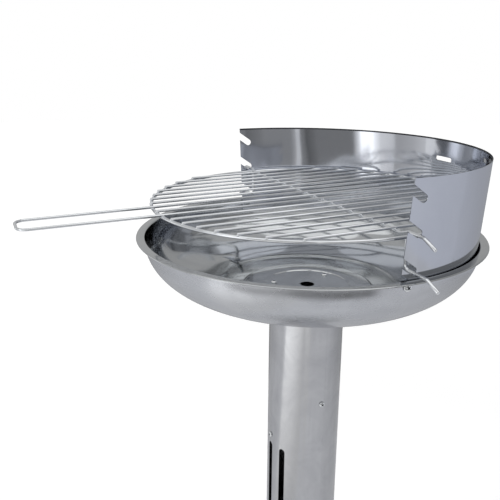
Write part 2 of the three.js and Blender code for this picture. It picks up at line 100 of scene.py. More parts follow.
def add_node(tree, kind, settings=(), inputs=()):
    made = tree.nodes.new(kind)
    for name, value in dict(settings).items():
        setattr(made, name, value)
    for name, value in dict(inputs).items():
        if isinstance(value, bpy.types.NodeSocket):
            tree.links.new(value, made.inputs[name])
        else:
            made.inputs[name].default_value = value
    return made


def empty_material(name):
    """A material with nothing but its output node, which is given back with the tree."""
    material = bpy.data.materials.new(name)
    material.use_nodes = True
    material.node_tree.nodes.clear()
    return material, add_node(material.node_tree, "ShaderNodeOutputMaterial")


# %% [markdown]
# Stainless sheet is a mirror with a skin. Rolling leaves very fine lines along the strip, handling
# leaves faint cloudy smears, and the sheet is never quite flat, so that reflections swim a little.
# All three come from noise. For the lines it is stretched along one direction: across them it
# changes within a millimetre, and along them only over centimetres. The real lines are finer than
# a pixel, so they are drawn a few times coarser than they are.

# %% Helper for every metal
SMEAR_MM = 45


def finish_metal(tree, output, clouds, colours, rough, relief):
    """Joins a cloudy mix of two colours, a roughness and a relief in a metal's shader."""
    tint = add_node(tree, "ShaderNodeMix", {"data_type": "RGBA"}, {
        "Factor": clouds.outputs["Fac"], 6: linear(colours[0]), 7: linear(colours[1])})
    shader = add_node(tree, "ShaderNodeBsdfPrincipled", inputs={
        "Base Color": tint.outputs[2], "Metallic": 1, "Roughness": rough.outputs[0],
        "Normal": relief.outputs[0]})
    tree.links.new(shader.outputs[0], output.inputs["Surface"])


# %% Steel sheet
LINE_STRETCH = 40


def steel_sheet(name, colours, roughness, smear, line_mm, wave_mm, wave_depth_mm, line_depth_mm,
                round_lines=False):
    """Polished sheet. Lines lie level round the Z axis, or in rings where round_lines is set."""
    material, output = empty_material(name)
    tree = material.node_tree
    place = add_node(tree, "ShaderNodeTexCoord").outputs["Object"]
    if round_lines:
        # Rings change only with the distance from the axis
        flat = add_node(tree, "ShaderNodeVectorMath", {"operation": "MULTIPLY"}, {0: place, 1: (1, 1, 0)})
        reach = add_node(tree, "ShaderNodeVectorMath", {"operation": "LENGTH"}, {0: flat.outputs[0]})
        across = add_node(tree, "ShaderNodeCombineXYZ", inputs={0: reach.outputs["Value"]}).outputs[0]
        scale = (1, 1, 1)
    else:
        across = place
        scale = (1 / LINE_STRETCH, 1 / LINE_STRETCH, 1)
    lined = add_node(tree, "ShaderNodeMapping", inputs={"Vector": across, "Scale": scale})
    lines = add_node(tree, "ShaderNodeTexNoise", inputs={
        "Vector": lined.outputs[0], "Scale": 1 / (line_mm * mm), "Detail": 2, "Roughness": 0.6})
    smears = add_node(tree, "ShaderNodeTexNoise", inputs={
        "Vector": place, "Scale": 1 / (SMEAR_MM * mm), "Detail": 4, "Roughness": 0.62,
        "Distortion": 0.8})
    waves = add_node(tree, "ShaderNodeTexNoise", inputs={
        "Vector": place, "Scale": 1 / (wave_mm * mm), "Detail": 0})
    dull = add_node(tree, "ShaderNodeMapRange", inputs={
        "Value": smears.outputs["Fac"], "From Min": 0.35, "From Max": 0.75,
        "To Min": roughness, "To Max": roughness + smear})
    rough = add_node(tree, "ShaderNodeMath", {"operation": "MULTIPLY_ADD"}, {
        0: lines.outputs["Fac"], 1: smear, 2: dull.outputs[0]})
    swim = add_node(tree, "ShaderNodeBump", inputs={
        "Height": waves.outputs["Fac"], "Strength": 1, "Distance": wave_depth_mm * mm})
    relief = add_node(tree, "ShaderNodeBump", inputs={
        "Height": lines.outputs["Fac"], "Strength": 1, "Distance": line_depth_mm * mm,
        "Normal": swim.outputs[0]})
    finish_metal(tree, output, smears, colours, rough, relief)
    return material


# %% Sheet finishes
# Bright annealed strip: nearly a mirror, a little blue, with lines along the strip
bright_strip = steel_sheet("bright_annealed_steel_strip", ("#c7cad0", "#bdc0c8"), 0.05, 0.04,
                           line_mm=1.2, wave_mm=60, wave_depth_mm=1, line_depth_mm=0.001)
# Pressed and buffed dish: soft rings from the buffing wheel, a little warmer and softer
buffed_dish = steel_sheet("buffed_pressed_steel_dish", ("#c8cbcc", "#b9bbbe"), 0.055, 0.04,
                          line_mm=1.5, wave_mm=55, wave_depth_mm=0.5, line_depth_mm=0.0002,
                          round_lines=True)
# The dish's outside was left satin: rings and smears, and reflections without an edge
satin_dish = steel_sheet("satin_pressed_steel_dish", ("#cfd1d5", "#bdbfc4"), 0.17, 0.1,
                         line_mm=1.5, wave_mm=60, wave_depth_mm=0.9, line_depth_mm=0.001,
                         round_lines=True)
# Rolled tube of satin strip: duller, with cloudy smears
satin_tube = steel_sheet("satin_rolled_steel_tube", ("#cecfd1", "#aeafb3"), 0.11, 0.1,
                         line_mm=1.2, wave_mm=50, wave_depth_mm=0.5, line_depth_mm=0.002)
# Where steel was sheared or punched it is torn, dark and matt. The same dark finish is also painted shade
# in a screw's cross and along the top of the shield's inside
sheared_edge_and_painted_shade = steel_sheet("sheared_steel_edge_and_painted_shade", ("#4e5054", "#424448"), 0.42, 0.1,
                           line_mm=1.2, wave_mm=70, wave_depth_mm=0.1, line_depth_mm=0.01)
# Ground plate: pale and dull, with rings from a coarser wheel
ground_plate = steel_sheet("ground_steel_plate", ("#eff0f1", "#e2e3e5"), 0.26, 0.1,
                           line_mm=1.6, wave_mm=80, wave_depth_mm=0.2, line_depth_mm=0.006,
                           round_lines=True)
print("sheet finishes:", bright_strip.name, buffed_dish.name, satin_dish.name, satin_tube.name)

# %% [markdown]
# The wires are drawn steel with a bright nickel and chrome plating. The plating flows over the
# drawing marks, so it is smooth with a slight orange peel, and dulls a little where it was held.
# The screws are zinc plated, with a finer grain and faint cloudiness.

# %% Plated steel
def plated_steel(name, colours, roughness, spread, grain_mm, grain_depth_mm):
    """Smooth plating with a fine grain, and clouds of a second colour where it is duller."""
    material, output = empty_material(name)
    tree = material.node_tree
    place = add_node(tree, "ShaderNodeTexCoord").outputs["Object"]
    grain = add_node(tree, "ShaderNodeTexNoise", inputs={
        "Vector": place, "Scale": 1 / (grain_mm * mm), "Detail": 2})
    clouds = add_node(tree, "ShaderNodeTexNoise", inputs={
        "Vector": place, "Scale": 1 / (SMEAR_MM * mm), "Detail": 3, "Roughness": 0.6})
    rough = add_node(tree, "ShaderNodeMapRange", inputs={
        "Value": clouds.outputs["Fac"], "From Min": 0.3, "From Max": 0.7,
        "To Min": roughness, "To Max": roughness + spread})
    relief = add_node(tree, "ShaderNodeBump", inputs={
        "Height": grain.outputs["Fac"], "Strength": 1, "Distance": grain_depth_mm * mm})
    finish_metal(tree, output, clouds, colours, rough, relief)
    return material


# %% Plated finishes
chromed_wire = plated_steel("chrome_plated_steel_wire", ("#eceef1", "#dadde1"), 0.06, 0.06,
                            grain_mm=2.5, grain_depth_mm=0.02)
zinc_plated = plated_steel("zinc_plated_screw_steel", ("#eceeef", "#d4d7d9"), 0.08, 0.08,
                           grain_mm=1.2, grain_depth_mm=0.01)
print("plated finishes:", chromed_wire.name, zinc_plated.name)

# %% [markdown]
# Every piece is finished in the same way: doubled points are merged, faces are turned outwards,
# edges sharper than a bend stay crisp, and the object is tied to its body, while the solid of the
# frame that it stands for is hidden.

# %% Helpers for pieces
MERGE = 0.001 * mm
CRISP = math.radians(34)


def piece_from(name, mesh_edit, material):
    """Makes a mesh edit an object that sits at the origin, with its place in its mesh."""
    bmesh.ops.remove_doubles(mesh_edit, verts=mesh_edit.verts, dist=MERGE)
    bmesh.ops.recalc_face_normals(mesh_edit, faces=mesh_edit.faces)
    mesh = bpy.data.meshes.new(name)
    mesh_edit.to_mesh(mesh)
    mesh_edit.free()
    mesh.materials.append(material)
    piece = bpy.data.objects.new(name, mesh)
    scene.collection.objects.link(piece)
    return piece


def cut_with(piece, cutters):
    """Cuts each mesh edit out of the piece, as a punch or a drill does."""
    for cutter in cutters:
        tool = piece_from("tool", cutter, piece.data.materials[0])
        cut = piece.modifiers.new("cut", "BOOLEAN")
        cut.operation, cut.solver, cut.object = "DIFFERENCE", "EXACT", tool
        bpy.context.view_layer.update()
        graph = bpy.context.evaluated_depsgraph_get()
        mesh = bpy.data.meshes.new_from_object(piece.evaluated_get(graph))
        piece.modifiers.clear()
        piece.data = mesh
        bpy.data.objects.remove(tool)


def finish_piece(piece, body, slot, *nodes):
    piece.data.shade_smooth()
    piece.data.set_sharp_from_angle(angle=CRISP)
    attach(piece, body)
    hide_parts(*nodes)
    print(f"{piece.name}: {len(piece.data.polygons)} faces, stands for {', '.join(nodes) or 'nothing'}")
    return piece


# %% [markdown]
# Pressed sheet is drawn as one bent line, and given its thickness on one side of that line. Each
# bend gets a real radius, because a soft bend is what catches a bright line of light. A bevel on
# the finished sheet could round it too, but would leave its two sides with the same radius.

# %% Helpers for outlines
def arc_through(corner, before, after, radius, steps):
    """The points of an arc that rounds one corner between two straight stretches."""
    back = (before - corner).normalized()
    onward = (after - corner).normalized()
    turn = math.pi - back.angle(onward)
    middle = corner + (back + onward).normalized() * radius / math.cos(turn / 2)
    start = corner + back * radius * math.tan(turn / 2) - middle
    axis = back.cross(start).normalized()
    return [middle + Matrix.Rotation(turn * k / steps, 3, axis) @ start for k in range(steps + 1)]


def bent(line, radii, steps=6):
    """Rounds the inner corners of a line of (radius, height) pairs that have a bend's radius."""
    points = [Vector((r, 0, z)) for r, z in line]
    made = [points[0]]
    for i in range(1, len(points) - 1):
        if radii.get(i):
            made += arc_through(points[i], points[i - 1], points[i + 1], radii[i], steps)
        else:
            made.append(points[i])
    return made + [points[-1]]


def thickened(points, sheet):
    """A closed outline: the line itself, and the same line one sheet to its left."""
    beside = []
    for i, point in enumerate(points):
        run = (points[min(i + 1, len(points) - 1)] - points[max(i - 1, 0)]).normalized()
        beside.append(point + Vector((-run.z, 0, run.x)) * sheet)
    return points + beside[::-1]


SPIN_STEPS = 192


def spun(outline, steps=SPIN_STEPS, closed=True):
    """Spins an outline once round the Z axis. An open one starts and ends on the axis."""
    mesh_edit = bmesh.new()
    corners = [mesh_edit.verts.new(point) for point in outline]
    for a, b in zip(corners, corners[1:] + corners[:1] if closed else corners[1:]):
        mesh_edit.edges.new((a, b))
    bmesh.ops.spin(mesh_edit, geom=mesh_edit.verts[:] + mesh_edit.edges[:], cent=(0, 0, 0),
                   axis=(0, 0, 1), angle=math.tau, steps=steps, use_merge=True)
    bmesh.ops.remove_doubles(mesh_edit, verts=mesh_edit.verts, dist=MERGE)
    return mesh_edit


# %% [markdown]
# The fire bowl is one disc of steel pressed in a die: a flat rim with its edge turned down, a
# curved wall, a trough, a raised middle that stiffens the floor, and a sunk seat where it is
# screwed to the column. The hole in the middle lets air in. A spin of one bent line gives all
# of it with no seam, as the press does. The wall is close to a quarter of an ellipse.

# %% Sizes of the bowl
sheet = 1.2 * mm
rim_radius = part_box("fire_bowl")[1].x
bowl_depth = rim_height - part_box("fire_bowl")[0].z
rim_width = 8.7 * mm
wall_top_radius = rim_radius - rim_width - sheet
wall_foot_radius = 121 * mm
plateau_radius = 84 * mm
plateau_rise = 2.5 * mm
plateau_under = rim_height - bowl_depth + plateau_rise
plateau_edge = 3 * mm
plateau_step = 1.8 * mm
trough_under = plateau_under - plateau_step
seat_radius = 56 * mm
seat_step = 1.5 * mm
draught_radius = 9.5 * mm
rim_lip = 1.5 * mm
WALL_RUN_POWER = 1.17
WALL_DROP_POWER = 0.93
WALL_POINTS = 40
print("bowl:", round(rim_radius * 2 / mm, 1), "mm across,", round(bowl_depth / mm, 1), "mm deep")

# %% Fire bowl
def wall_point(turn):
    """A point of the wall's underside, from its foot at a quarter turn to its top at none."""
    reach = wall_top_radius - wall_foot_radius
    drop = (bowl_depth - sheet) * math.sin(turn) ** WALL_DROP_POWER
    return wall_foot_radius + reach * math.cos(turn) ** WALL_RUN_POWER, rim_height - sheet - drop


wall = [wall_point(math.pi / 2 * (1 - k / WALL_POINTS)) for k in range(WALL_POINTS + 1)]
under_line = [
    (draught_radius, plateau_under - seat_step),
    (seat_radius, plateau_under - seat_step),
    (seat_radius + seat_step, plateau_under),
    (plateau_radius, plateau_under),
    (plateau_radius + plateau_edge, trough_under),
    *wall,
    (rim_radius - sheet, rim_height - sheet),
    (rim_radius - sheet, rim_height - rim_lip),
]
bends = {1: 1.5 * mm, 2: 1 * mm, 3: 1.5 * mm, 4: 2.5 * mm, len(under_line) - 3: 0.8 * mm,
         len(under_line) - 2: 0.3 * mm}
fire_bowl = piece_from("pressed_fire_bowl", spun(thickened(bent(under_line, bends), sheet)),
                       buffed_dish)
fire_bowl.data.materials.append(satin_dish)
for face in fire_bowl.data.polygons:
    leans_in = face.normal.x * face.center.x + face.normal.y * face.center.y < 0
    face.material_index = int(face.normal.z < 0 and not leans_in)
finish_piece(fire_bowl, "root", "bowl_steel", "fire_bowl")

# %% [markdown]
# The wind shield is a strip of bright steel bent into a half round, which springs wider at its
# free ends than at its back. A short edge is spun through the half turn for the plan, pushed up
# to its height, and widened with height. The slanting notches that carry the grid and the slot
# at the back are cut out last. The real strip was punched flat, before it was bent. Its cut faces
# are dark, and a narrow strip along the top of its inside is painted dark as shade.

# %% Helpers for cutters
def slot_cutter(length, width, depth, steps=10):
    """A slot with round ends, centred on the origin, its length along X and its depth along Z."""
    mesh_edit = bmesh.new()
    half = (length - width) / 2
    start = mesh_edit.verts.new((half, -width / 2, -depth / 2))
    first = bmesh.ops.spin(mesh_edit, geom=[start], cent=(half, 0, 0), axis=(0, 0, 1),
                           angle=math.pi, steps=steps)
    far = bmesh.ops.extrude_vert_indiv(mesh_edit, verts=first["geom_last"][:1])
    bmesh.ops.translate(mesh_edit, verts=far["verts"], vec=(-half * 2, 0, 0))
    last = bmesh.ops.spin(mesh_edit, geom=far["verts"], cent=(-half, 0, 0), axis=(0, 0, 1),
                          angle=math.pi, steps=steps)
    mesh_edit.edges.new((last["geom_last"][0], start))
    face = bmesh.ops.contextual_create(mesh_edit, geom=mesh_edit.edges[:])["faces"]
    pushed = bmesh.ops.extrude_face_region(mesh_edit, geom=face)
    raised = [g for g in pushed["geom"] if isinstance(g, bmesh.types.BMVert)]
    bmesh.ops.translate(mesh_edit, verts=raised, vec=(0, 0, depth))
    return mesh_edit


def drill(radius, low, high, sides=24):
    """An upright round cutter."""
    mesh_edit = bmesh.new()
    bmesh.ops.create_cone(mesh_edit, cap_ends=True, segments=sides, radius1=radius, radius2=radius,
                          depth=high - low, matrix=Matrix.Translation((0, 0, (low + high) / 2)))
    return mesh_edit


def placed(mesh_edit, *matrices):
    """Moves a mesh edit by each matrix in turn."""
    for matrix in matrices:
        bmesh.ops.transform(mesh_edit, matrix=matrix, verts=mesh_edit.verts)
    return mesh_edit


def turned_about(axis, degrees):
    return Matrix.Rotation(math.radians(degrees), 4, axis)


def outwards(degrees, height):
    """Lays what stands along Z down, so that it points away from the column at an angle."""
    lift = Matrix.Translation((0, 0, height))
    return lift @ turned_about("Z", degrees) @ turned_about("Y", 90)


# %% Sizes of the shield
shield_low, shield_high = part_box("wind_shield")
strip = 1 * mm
strip_foot = shield_low.z
strip_height = shield_high.z - strip_foot
side_flare = 13 * mm
rear_flare = 1 * mm
foot_radius = shield_high.x - side_flare
free_end = shield_low.y
STRIP_STEPS = 240
STRIP_LEVELS = 24
# The height of the painted shade band along the top of the shield's inside
painted_shade_band = 2.1 * mm
FACES_OUT, FACES_FORWARD = 0.7, 0.9
notch_width = 9.2 * mm
notch_slope = 35
notch_end_y = 6.5 * mm
notch_drops_mm = (21.4, 58.4, 99.4)
notch_heights = [shield_high.z - drop * mm for drop in notch_drops_mm]
notch_run = 26 * mm
rear_slot = (33 * mm, 6 * mm)
rear_slot_height = shield_high.z - 27 * mm
print("strip:", round(strip_height / mm, 1), "mm high, radius", round(foot_radius / mm, 1), "mm")

# %% Bending the strip
def shield_strip():
    """The bent strip, whole: spun in plan, pushed up in levels, and flared with height."""
    mesh_edit = bmesh.new()
    dip = math.asin(-free_end / foot_radius)
    ends = [mesh_edit.verts.new((foot_radius - inset, 0, strip_foot)) for inset in (strip, 0)]
    edge = mesh_edit.edges.new(ends)
    bmesh.ops.rotate(mesh_edit, verts=ends, cent=(0, 0, 0), matrix=Matrix.Rotation(-dip, 3, "Z"))
    bmesh.ops.spin(mesh_edit, geom=ends + [edge], cent=(0, 0, 0), axis=(0, 0, 1),
                   angle=math.pi + dip * 2, steps=STRIP_STEPS)
    faces = mesh_edit.faces[:]
    steps = [(strip_height - painted_shade_band) / STRIP_LEVELS] * STRIP_LEVELS + [painted_shade_band]
    for level, step in enumerate(steps):
        pushed = bmesh.ops.extrude_face_region(mesh_edit, geom=faces, use_keep_orig=level == 0)
        raised = [g for g in pushed["geom"] if isinstance(g, bmesh.types.BMVert)]
        bmesh.ops.translate(mesh_edit, verts=raised, vec=(0, 0, step))
        faces = [g for g in pushed["geom"] if isinstance(g, bmesh.types.BMFace)]
    for vert in mesh_edit.verts:
        share = (vert.co.z - strip_foot) / strip_height
        vert.co.x *= 1 + side_flare / foot_radius * share
        vert.co.y *= 1 + rear_flare / foot_radius * share
    return mesh_edit


# %% Wind shield
def notch_cutter(side, height):
    """A slot that runs in from the free end and down, and ends in a half round."""
    reach = foot_radius + side_flare / 2
    return placed(slot_cutter(notch_run + notch_width, notch_width, side_flare * 2),
                  Matrix.Translation((-notch_run / 2, 0, 0)), turned_about("Z", -notch_slope),
                  turned_about("X", 90), turned_about("Z", 90),
                  Matrix.Translation((side * reach, notch_end_y, height)))


wind_shield = piece_from("bent_wind_shield", shield_strip(), bright_strip)
back_slot = placed(slot_cutter(*rear_slot, side_flare), turned_about("X", 90),
                   Matrix.Translation((0, foot_radius + rear_flare, rear_slot_height)))
cut_with(wind_shield, [notch_cutter(s, h) for s in (-1, 1) for h in notch_heights] + [back_slot])
wind_shield.data.materials.append(sheared_edge_and_painted_shade)
for face in wind_shield.data.polygons:
    away = Vector((face.center.x, face.center.y, 0)).normalized()
    leans = face.normal.dot(away)
    # A narrow band along the top of the inside is painted dark as shade; the cut faces are dark torn metal
    in_painted_shade_band = leans < 0 and face.center.z > shield_high.z - painted_shade_band
    on_free_end = face.normal.y < -FACES_FORWARD
    on_cut = abs(leans) < FACES_OUT and not on_free_end
    face.material_index = int(in_painted_shade_band or on_cut)
finish_piece(wind_shield, "root", "shield_steel", "wind_shield")

# %% [markdown]
# The column is satin strip rolled into a tube. One edge is jogged out and lapped over the other,
# and the lap is held by two small screws. A short edge is walked round the axis in small steps
# and lifted by a smooth jog, which leaves the step that shows as an upright line. Three air slots
# are cut at the front, and three tabs at the top are folded in to carry the bowl.

# %% Sizes of the column
column_low, column_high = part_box("column_tube")
column_foot, column_top = column_low.z, column_high.z
column_radius = 50.4 * mm
column_sheet = 1.2 * mm
lap_gap = 0.3 * mm
lap_lift = column_sheet + lap_gap
lap_from, lap_to = -14, 5
jog_degrees = 16
edge_degrees = 0.8
edge_drop = 0.5 * mm
ROLL_STEPS = 480
slot_size = (170 * mm, 9.4 * mm)
slot_drop = 315 * mm
slot_angles = (-118, -90, -62)
tab_inner = 35.2 * mm
tab_degrees = 26
TAB_STEPS = 12
roll_degrees = lap_to + 360 - lap_from
print("column:", round((column_top - column_foot) / mm, 1), "mm long, rolled by", roll_degrees, "degrees")

# %% Rolling the sheet
def smooth_share(here, start, length):
    """Rises softly from 0 to 1 over a length."""
    share = min(max((here - start) / length, 0), 1)
    return share * share * (3 - 2 * share)


def lift_at(degrees):
    """How far the sheet stands out along its roll: jogged out for the lap, and closed at its edge."""
    jogged = smooth_share(degrees, lap_from + 360 - jog_degrees, jog_degrees)
    closed = smooth_share(degrees, lap_to + 360 - edge_degrees, edge_degrees * 2)
    return lap_lift * jogged - edge_drop * closed


def rolled_column():
    """The tube: a short edge is walked round the axis, then all of it is pushed up."""
    mesh_edit = bmesh.new()
    turn = Matrix.Rotation(math.radians(roll_degrees) / ROLL_STEPS, 3, "Z")
    lifts = [lift_at(lap_from + roll_degrees * k / ROLL_STEPS) for k in range(ROLL_STEPS + 1)]
    start = Matrix.Rotation(math.radians(lap_from), 3, "Z")
    radii = (column_radius - column_sheet, column_radius)
    ends = [mesh_edit.verts.new(start @ Vector((r, 0, column_foot))) for r in radii]
    edge = mesh_edit.edges.new(ends)
    for now, before in zip(lifts[1:], lifts):
        grown = bmesh.ops.extrude_edge_only(mesh_edit, edges=[edge])["geom"]
        ends = [g for g in grown if isinstance(g, bmesh.types.BMVert)]
        edge = next(g for g in grown if isinstance(g, bmesh.types.BMEdge)
                    and all(v in ends for v in g.verts))
        for vert in ends:
            vert.co = turn @ vert.co
            out = Vector((vert.co.x, vert.co.y, 0)).normalized()
            vert.co += out * (now - before)
    pushed = bmesh.ops.extrude_face_region(mesh_edit, geom=mesh_edit.faces[:], use_keep_orig=True)
    raised = [g for g in pushed["geom"] if isinstance(g, bmesh.types.BMVert)]
    bmesh.ops.translate(mesh_edit, verts=raised, vec=(0, 0, column_top - column_foot))
    return mesh_edit


# %% Folding the tabs
def folded_tabs():
    """Three tabs: the outline of each is spun through the angle that it fills."""
    mesh_edit = bmesh.new()
    for degrees in (0, 120, 240):
        start = Matrix.Rotation(math.radians(degrees - tab_degrees / 2), 3, "Z")
        radii = (tab_inner, column_radius - column_sheet / 2)
        outline = [(r, z) for z in (column_top - column_sheet, column_top) for r in radii]
        corners = [mesh_edit.verts.new(start @ Vector((r, 0, z))) for r, z in outline]
        face = mesh_edit.faces.new([corners[i] for i in (0, 1, 3, 2)])
        bmesh.ops.spin(mesh_edit, geom=[face, *face.verts, *face.edges], cent=(0, 0, 0),
                       axis=(0, 0, 1), angle=math.radians(tab_degrees), steps=TAB_STEPS)
    return mesh_edit


# %% Column
column = piece_from("rolled_column", rolled_column(), satin_tube)
cut_with(column, [placed(slot_cutter(*slot_size, column_radius),
                         Matrix.Translation((0, 0, column_radius)), outwards(a, column_top - slot_drop))
                  for a in slot_angles])
tabs = piece_from("folded_column_tabs", folded_tabs(), satin_tube)
finish_piece(column, "root", "column_steel", "column_tube")
finish_piece(tabs, "root", "column_steel")

# %% [markdown]
# The foot is a heavy round plate with its edges broken, so that it doesn't cut a finger or a floor.
# A pressed cup is screwed to it, and the column slips over the cup. Both are spun.

# %% Floor plate
plate_low, plate_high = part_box("base_plate")
plate_radius, plate_top = plate_high.x, plate_high.z
plate_edge = 1.5 * mm
tapped_radius = 2.8 * mm
socket_screw_circle = 37 * mm
foot_angles = (60, 180, 300)

plate_line = bent([(0, 0), (plate_radius, 0), (plate_radius, plate_top), (0, plate_top)],
                  {1: plate_edge, 2: plate_edge}, steps=4)
plate = piece_from("ground_floor_plate", spun(plate_line, closed=False), ground_plate)
cut_with(plate, [placed(drill(tapped_radius, -plate_top, plate_top * 2),
                        Matrix.Translation((socket_screw_circle, 0, 0)), turned_about("Z", a))
                 for a in foot_angles])
finish_piece(plate, "root", "base_steel", "base_plate")

# %% Socket cup
# A known fault: the cup's sheet lies outside its line, so that its wall stands out of the column's
# foot by half a millimetre and its floor is let into the plate
socket_low, socket_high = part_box("base_socket")
socket_radius = 48.9 * mm
socket_sheet = 2 * mm
socket_bend = 3 * mm
socket_bore = 28 * mm
cup_line = [(socket_radius, socket_high.z), (socket_radius, socket_low.z), (socket_bore, socket_low.z)]
cup = piece_from("pressed_socket_cup", spun(thickened(bent(cup_line, {1: socket_bend}), socket_sheet)),
                 ground_plate)
finish_piece(cup, "root", "base_steel", "base_socket")

# %% [markdown]
# Every wire is a round section that is pushed along its straight stretches and spun through its
# bends, just as a wire bender does it. A curve with a round bevel would be shorter to write, but
# its section narrows in a tight bend. The ends are cut and a little rounded.

# %% Helpers for the ends of wires
END_SHARE = 0.35
# An end's dome: shares of its height, each with its share of the wire's radius
DOME_SHARES = ((0.6, 0.86), (1, 0.55))


def push(mesh_edit, edges, offset):
    """Pushes a ring of edges on, and gives back the new ring and its points."""
    grown = bmesh.ops.extrude_edge_only(mesh_edit, edges=edges)["geom"]
    verts = [g for g in grown if isinstance(g, bmesh.types.BMVert)]
    bmesh.ops.translate(mesh_edit, verts=verts, vec=offset)
    ring_on = [g for g in grown if isinstance(g, bmesh.types.BMEdge) and all(v in verts for v in g.verts)]
    return ring_on, verts


def round_end(mesh_edit, edges, reach):
    """Closes a wire's end with a low dome that stays within the wire's length."""
    verts = list({v for e in edges for v in e.verts})
    middle = sum((v.co for v in verts), Vector()) / len(verts) - reach
    bmesh.ops.translate(mesh_edit, verts=verts, vec=-reach)
    risen, wide = 0, 1
    for share, width in DOME_SHARES:
        edges, verts = push(mesh_edit, edges, reach * (share - risen))
        bmesh.ops.scale(mesh_edit, verts=verts, vec=Vector((1, 1, 1)) * (width / wide),
                        space=Matrix.Translation(-middle - reach * share))
        risen, wide = share, width
    bmesh.ops.contextual_create(mesh_edit, geom=edges)


# %% Helper for wires
WIRE_SIDES = 16
BEND_STEPS = 8


def wire(corners, radius, bend_radius):
    """A bent wire through the corners, each rounded with the same bend."""
    mesh_edit = bmesh.new()
    run = (corners[1] - corners[0]).normalized()
    stand = Matrix.Translation(corners[0]) @ run.to_track_quat("Z", "Y").to_matrix().to_4x4()
    bmesh.ops.create_circle(mesh_edit, segments=WIRE_SIDES, radius=radius, matrix=stand)
    first = mesh_edit.edges[:]
    rim = first
    here = corners[0]
    for before, corner, after in zip(corners, corners[1:], corners[2:]):
        back, onward = (before - corner).normalized(), (after - corner).normalized()
        turn = math.pi - back.angle(onward)
        reach = bend_radius * math.tan(turn / 2)
        rim, _ = push(mesh_edit, rim, corner + back * reach - here)
        middle = corner + (back + onward).normalized() * bend_radius / math.cos(turn / 2)
        axis = (-back).cross(onward).normalized()
        bent_part = bmesh.ops.spin(mesh_edit, geom=rim, cent=middle, axis=axis, angle=turn,
                                   steps=BEND_STEPS)["geom_last"]
        rim = [g for g in bent_part if isinstance(g, bmesh.types.BMEdge)]
        here = corner + onward * reach
    rim, _ = push(mesh_edit, rim, corners[-1] - here)
    for edges, way in ((first, corners[0] - corners[1]), (rim, corners[-1] - corners[-2])):
        round_end(mesh_edit, edges, way.normalized() * radius * END_SHARE)
    return mesh_edit


# %% [markdown]
# The grid is a round wire frame with seventeen straight wires laid across it. Two of them run on
# and meet in the long handle. A crossbar lies under them, and its ends and those of the two stays
# come out through the notches of the shield, where they droop as ears that keep the grid in. All
# of it is drawn level, and then turned by the slight droop that the grid hangs at.

# %% Sizes of the grid
frame_wire = 2 * mm
wire_radius = 1.7 * mm
wire_gap = 0.3 * mm
weld_sink = 0.7 * mm
ring_radius = 204 * mm
ring_height = rim_height + 44 * mm
ear_height = ring_height + frame_wire * 2 + wire_gap
wire_height = ring_height + frame_wire + wire_radius - weld_sink
wire_overhang = 1.5 * mm
bar_y = notch_end_y
GRID_DROOP = 0.8
ear_axis = Vector((0, bar_y, ear_height))
drooped = (Matrix.Translation(ear_axis) @ turned_about("X", GRID_DROOP)
           @ Matrix.Translation(-ear_axis))
print("grid:", round(ring_radius * 2 / mm, 1), "mm across, drooping by", GRID_DROOP, "degrees")

# %% Helpers for the grid
def grid_piece(name, mesh_edit, *nodes):
    """Finishes a piece of the grid, which was drawn level."""
    made = piece_from(name, placed(mesh_edit, drooped), chromed_wire)
    return finish_piece(made, "grid", "chrome_wire", *nodes)


def wire_end(x):
    """How far a straight wire reaches past the middle, to just over the ring."""
    return math.sqrt(ring_radius ** 2 - x ** 2) + wire_overhang


# %% Ring and straight wires
WIRE_NUMBERS = (1, 2, 3, 4, 5, 6, 7, 9, 11, 12, 13, 14, 15, 16, 17)
ring = bmesh.new()
bmesh.ops.create_circle(ring, segments=WIRE_SIDES, radius=frame_wire,
                        matrix=Matrix.Translation((ring_radius, 0, ring_height)) @ turned_about("X", 90))
bmesh.ops.spin(ring, geom=ring.verts[:] + ring.edges[:], cent=(0, 0, 0), axis=(0, 0, 1),
               angle=math.tau, steps=SPIN_STEPS, use_merge=True)
grid_piece("chromed_ring", ring, "grid_ring")

wire_spots = []
for number in WIRE_NUMBERS:
    node = f"grid_wire_{number:02d}"
    x = (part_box(node)[0].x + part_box(node)[1].x) / 2
    wire_spots.append(x)
    ends = [Vector((x, side * wire_end(x), wire_height)) for side in (-1, 1)]
    grid_piece(f"chromed_wire_{number:02d}", wire(ends, wire_radius, 0), node)

# %% Handle
leg_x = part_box("grid_handle")[1].x - wire_radius
handle_reach = 362.8 * mm
handle_bend = 12 * mm
handle_line = [Vector((x, y, wire_height)) for x, y in (
    (-leg_x, wire_end(leg_x)), (-leg_x, -handle_reach), (leg_x, -handle_reach), (leg_x, wire_end(leg_x)))]
grid_piece("chromed_handle", wire(handle_line, wire_radius, handle_bend), "grid_handle")

# %% [markdown]
# The ears stick straight out past the shield and then droop by 23 degrees. The crossbar climbs
# over the ring at each end, and each stay climbs down inside the ring to the next notch.

# %% Crossbar and stays
bar_bend, stay_bend_radius = 9 * mm, 7 * mm
climb_run = 13 * mm
stay_drop = 41 * mm
ear_length = 21 * mm
ear_droop = math.radians(23)
ear_end = Vector((math.cos(ear_droop), 0, -math.sin(ear_droop))) * ear_length
ear_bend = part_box("grid_crossbar")[1].x - ear_end.x - frame_wire * math.sin(ear_droop)
rise_top = ring_radius - frame_wire
rise_foot = rise_top - climb_run
stay_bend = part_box("grid_stay_right")[1].x - ear_end.x - frame_wire * math.sin(ear_droop)
stay_height = ear_height - stay_drop
stay_x = ring_radius - frame_wire * 2 - wire_gap


def mirrored(point, side):
    return Vector((point.x * side, point.y, point.z))


half = [Vector((rise_foot, bar_y, ring_height)), Vector((rise_top, bar_y, ear_height)),
        Vector((ear_bend, bar_y, ear_height)), Vector((ear_bend, bar_y, ear_height)) + ear_end]
crossbar = wire([mirrored(p, -1) for p in half[::-1]] + half, frame_wire, bar_bend)
grid_piece("chromed_crossbar", crossbar, "grid_crossbar")

